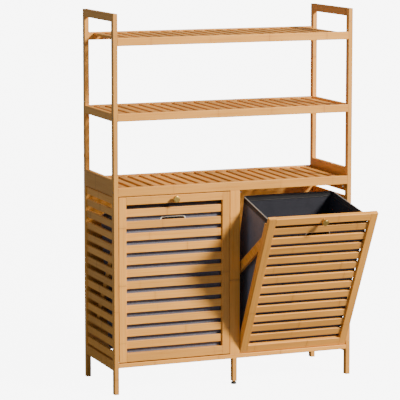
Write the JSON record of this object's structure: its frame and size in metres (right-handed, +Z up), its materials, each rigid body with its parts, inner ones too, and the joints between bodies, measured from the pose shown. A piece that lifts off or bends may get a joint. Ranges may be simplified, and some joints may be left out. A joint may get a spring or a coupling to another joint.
{
  "type": "laundry cabinet with tilt-out hampers",
  "caption": "Tall bamboo laundry cabinet with open slatted shelves above slatted doors that tilt out, each carrying a fabric hamper, on post legs with a centre levelling foot.",
  "frame": {"origin": "on the floor, at the centre of the rectangle that the four posts stand on", "axes": "+Z up; the front with the doors faces -Y; +X to the right when looking at the front"},
  "size_m": [0.98, 0.6537, 1.44],
  "materials": {
    "bamboo": "clear satin lacquer over solid bamboo strip",
    "bamboo_slat": "clear satin lacquer over bamboo slats",
    "bamboo_peg": "turned bamboo dowel, satin",
    "catch_wood": "bamboo block, satin",
    "liner_cloth": "charcoal woven polyester, matte",
    "white_wire": "white coated steel wire",
    "white_plastic": "white moulded plastic",
    "knob_brass": "turned brass knob, satin",
    "steel": "zinc plated steel",
    "foot_plastic": "black moulded plastic"
  },
  "bodies": {
    "frame": {"back_panel": "bamboo", "bottom_back_rail": "bamboo", "bottom_front_rail": "bamboo", "catch_blocks": "catch_wood", "catch_magnets": "steel", "centre_leg": "bamboo", "centre_stile": "bamboo", "deck_back_rail": "bamboo", "deck_boards": "bamboo", "deck_front_rail": "bamboo", "deck_slats": "bamboo_slat", "foot_sleeve": "steel", "frame_screws": "steel", "left_bottom_rail": "bamboo", "left_front_post": "bamboo", "left_middle_rail": "bamboo", "left_rear_post": "bamboo", "left_side_slats": "bamboo_slat", "left_top_rail": "bamboo", "middle_shelf_back_rail": "bamboo", "middle_shelf_front_rail": "bamboo", "middle_shelf_slats": "bamboo_slat", "pivot_pins": "steel", "right_bottom_rail": "bamboo", "right_front_post": "bamboo", "right_middle_rail": "bamboo", "right_rear_post": "bamboo", "right_side_slats": "bamboo_slat", "right_top_rail": "bamboo", "stop_pegs": "bamboo_peg", "top_shelf_back_rail": "bamboo", "top_shelf_front_rail": "bamboo", "top_shelf_slats": "bamboo_slat"},
    "left_door": {"left_door_battens": "bamboo", "left_door_bottom_rail": "bamboo", "left_door_braces": "bamboo", "left_door_catch_plates": "steel", "left_door_crossbar": "bamboo", "left_door_knob": "knob_brass", "left_door_liner": "liner_cloth", "left_door_pull_grommet": "white_plastic", "left_door_rim_wire": "white_wire", "left_door_screws": "steel", "left_door_slats": "bamboo_slat", "left_door_stiles": "bamboo", "left_door_top_rail": "bamboo"},
    "right_door": {"right_door_battens": "bamboo", "right_door_bottom_rail": "bamboo", "right_door_braces": "bamboo", "right_door_catch_plates": "steel", "right_door_crossbar": "bamboo", "right_door_knob": "knob_brass", "right_door_liner": "liner_cloth", "right_door_pull_grommet": "white_plastic", "right_door_rim_wire": "white_wire", "right_door_screws": "steel", "right_door_slats": "bamboo_slat", "right_door_stiles": "bamboo", "right_door_top_rail": "bamboo"},
    "foot": {"levelling_foot": "foot_plastic"}
  },
  "joints": [
    {"name": "left_door_tilt", "type": "hinge", "parent": "frame", "child": "left_door", "pos_m": [-0.24625, -0.1695, 0.131], "axis": [1, 0, 0], "range_deg": [0, 27]},
    {"name": "right_door_tilt", "type": "hinge", "parent": "frame", "child": "right_door", "pos_m": [0.24625, -0.1695, 0.131], "axis": [1, 0, 0], "range_deg": [-27, 0]},
    {"name": "foot_adjust", "type": "slide", "parent": "frame", "child": "foot", "axis": [0, 0, 1], "range_m": [-0.01, 0.0035]}
  ]
}
